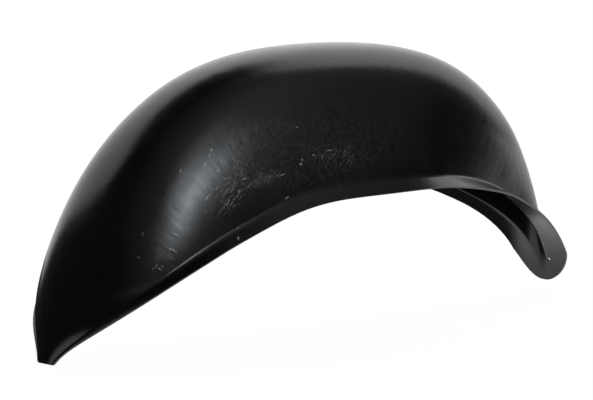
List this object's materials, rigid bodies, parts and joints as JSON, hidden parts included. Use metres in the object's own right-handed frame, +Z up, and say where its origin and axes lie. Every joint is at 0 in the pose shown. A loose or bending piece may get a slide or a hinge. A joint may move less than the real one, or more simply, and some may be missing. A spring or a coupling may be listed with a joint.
{
  "type": "wheel arch liner",
  "caption": "Black moulded plastic wheel arch liner: an arched channel over the wheel with a lip along both rims and a rounded tongue at each end, one with a screw hole.",
  "frame": {"origin": "under the middle of the liner's box, at the level of its lowest tongue tip", "axes": "+X along the car towards the tongue with the screw hole, +Y across the car, +Z up"},
  "size_m": [0.729, 0.1846, 0.294],
  "materials": {
    "black_plastic": "glossy moulded sheet, scuffed"
  },
  "bodies": {
    "root": {"liner_shell": "black_plastic"}
  },
  "joints": []
}
